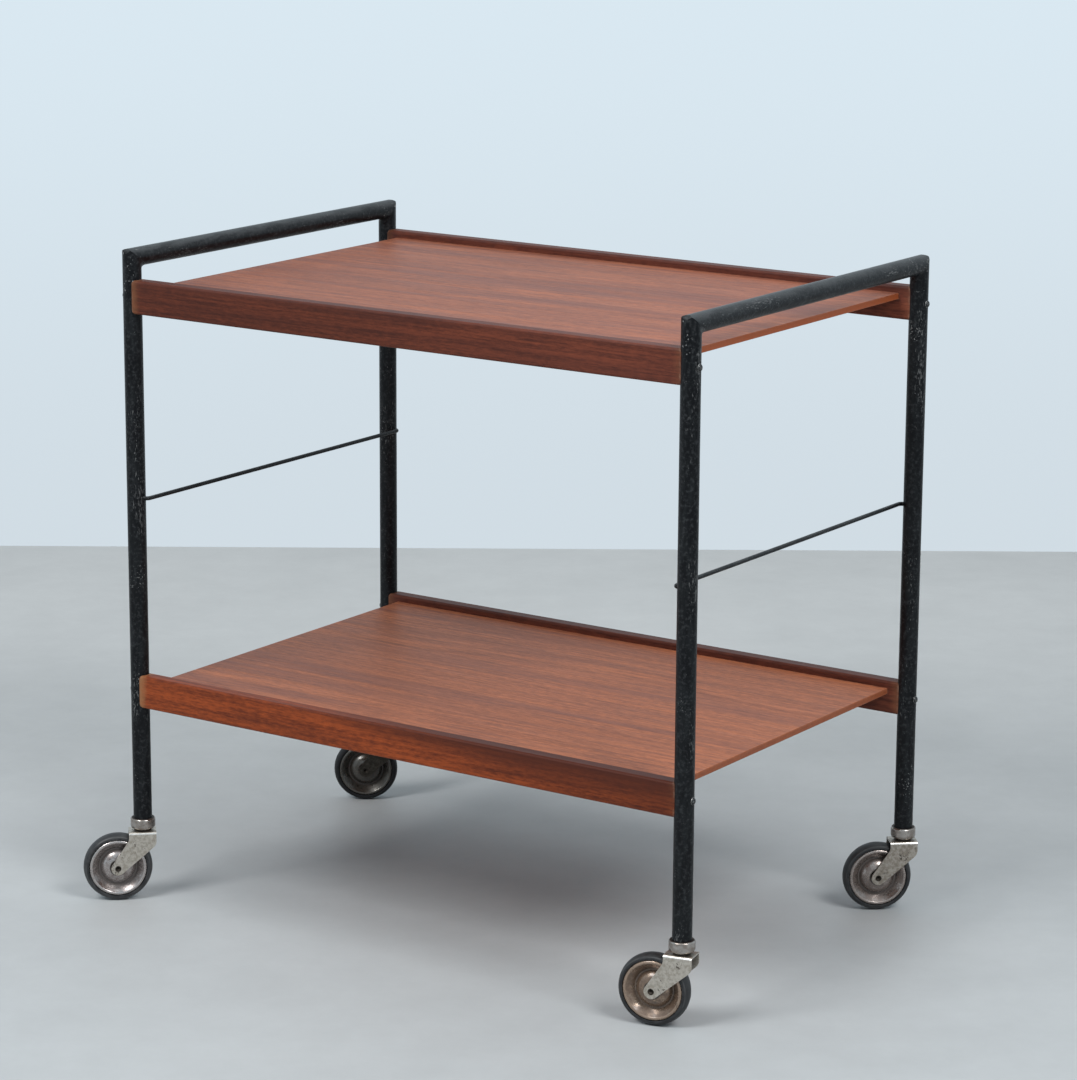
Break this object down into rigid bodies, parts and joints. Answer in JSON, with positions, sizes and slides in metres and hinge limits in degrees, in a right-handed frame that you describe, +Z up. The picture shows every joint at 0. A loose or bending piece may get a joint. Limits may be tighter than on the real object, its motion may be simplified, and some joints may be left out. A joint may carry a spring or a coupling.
{
  "type": "bar cart",
  "caption": "Serving trolley on swivel casters: welded black tube end frames carry shallow teak trays between round handles, for rolling drinks and dishes about a room.",
  "frame": {"origin": "on the floor, midway between the four posts", "axes": "+X along the trays to the right end frame, +Y from the front rail to the rear rail, +Z up"},
  "size_m": [0.6876, 0.4625, 0.642],
  "materials": {
    "black_paint": "satin black paint, chipped",
    "teak_rail": "oiled teak, dark, worn edges",
    "teak_board": "oiled teak, satin",
    "screw_steel": "worn plated steel",
    "plated_steel": "tarnished nickel plate",
    "dark_steel": "dark oiled steel",
    "wheel_steel": "pressed steel, brown patina",
    "tyre_rubber": "aged black rubber"
  },
  "bodies": {
    "cart_frame": {"left_front_post": "black_paint", "left_rear_post": "black_paint", "left_handle": "black_paint", "left_tie_rod": "black_paint", "right_front_post": "black_paint", "right_rear_post": "black_paint", "right_handle": "black_paint", "right_tie_rod": "black_paint", "upper_front_rail": "teak_rail", "upper_rear_rail": "teak_rail", "upper_tray_board": "teak_board", "upper_tray_screws": "screw_steel", "lower_front_rail": "teak_rail", "lower_rear_rail": "teak_rail", "lower_tray_board": "teak_board", "lower_tray_screws": "screw_steel", "front_left_caster_socket": "plated_steel", "front_right_caster_socket": "plated_steel", "rear_left_caster_socket": "plated_steel", "rear_right_caster_socket": "plated_steel"},
    "front_left_swivel": {"front_left_caster_stem": "plated_steel", "front_left_caster_grip_ring": "dark_steel", "front_left_caster_washer": "dark_steel", "front_left_caster_fork": "plated_steel", "front_left_wheel_axle": "plated_steel"},
    "front_left_wheel": {"front_left_wheel_bush": "plated_steel", "front_left_tyre": "tyre_rubber", "front_left_wheel_outer_disc": "wheel_steel", "front_left_wheel_inner_disc": "wheel_steel"},
    "front_right_swivel": {"front_right_caster_stem": "plated_steel", "front_right_caster_grip_ring": "dark_steel", "front_right_caster_washer": "dark_steel", "front_right_caster_fork": "plated_steel", "front_right_wheel_axle": "plated_steel"},
    "front_right_wheel": {"front_right_wheel_bush": "plated_steel", "front_right_tyre": "tyre_rubber", "front_right_wheel_outer_disc": "wheel_steel", "front_right_wheel_inner_disc": "wheel_steel"},
    "rear_left_swivel": {"rear_left_caster_stem": "plated_steel", "rear_left_caster_grip_ring": "dark_steel", "rear_left_caster_washer": "dark_steel", "rear_left_caster_fork": "plated_steel", "rear_left_wheel_axle": "plated_steel"},
    "rear_left_wheel": {"rear_left_wheel_bush": "plated_steel", "rear_left_tyre": "tyre_rubber", "rear_left_wheel_outer_disc": "wheel_steel", "rear_left_wheel_inner_disc": "wheel_steel"},
    "rear_right_swivel": {"rear_right_caster_stem": "plated_steel", "rear_right_caster_grip_ring": "dark_steel", "rear_right_caster_washer": "dark_steel", "rear_right_caster_fork": "plated_steel", "rear_right_wheel_axle": "plated_steel"},
    "rear_right_wheel": {"rear_right_wheel_bush": "plated_steel", "rear_right_tyre": "tyre_rubber", "rear_right_wheel_outer_disc": "wheel_steel", "rear_right_wheel_inner_disc": "wheel_steel"}
  },
  "joints": [
    {"name": "front_left_swivel_turn", "type": "hinge", "parent": "cart_frame", "child": "front_left_swivel", "pos_m": [-0.3105, -0.2015, 0.0335], "axis": [0, 0, 1], "continuous": true},
    {"name": "front_left_wheel_spin", "type": "hinge", "parent": "front_left_swivel", "child": "front_left_wheel", "pos_m": [-0.32908, -0.21823, 0.0335], "axis": [-0.6691, 0.7431, 0], "continuous": true},
    {"name": "front_right_swivel_turn", "type": "hinge", "parent": "cart_frame", "child": "front_right_swivel", "pos_m": [0.3105, -0.2015, 0.0335], "axis": [0, 0, 1], "continuous": true},
    {"name": "front_right_wheel_spin", "type": "hinge", "parent": "front_right_swivel", "child": "front_right_wheel", "pos_m": [0.28614, -0.20712, 0.0335], "axis": [-0.225, 0.9744, 0], "continuous": true},
    {"name": "rear_left_swivel_turn", "type": "hinge", "parent": "cart_frame", "child": "rear_left_swivel", "pos_m": [-0.3105, 0.2015, 0.0335], "axis": [0, 0, 1], "continuous": true},
    {"name": "rear_left_wheel_spin", "type": "hinge", "parent": "rear_left_swivel", "child": "rear_left_wheel", "pos_m": [-0.33072, 0.1868, 0.0335], "axis": [-0.5878, 0.809, 0], "continuous": true},
    {"name": "rear_right_swivel_turn", "type": "hinge", "parent": "cart_frame", "child": "rear_right_swivel", "pos_m": [0.3105, 0.2015, 0.0335], "axis": [0, 0, 1], "continuous": true},
    {"name": "rear_right_wheel_spin", "type": "hinge", "parent": "rear_right_swivel", "child": "rear_right_wheel", "pos_m": [0.29135, 0.18543, 0.0335], "axis": [-0.6428, 0.766, 0], "continuous": true}
  ]
}
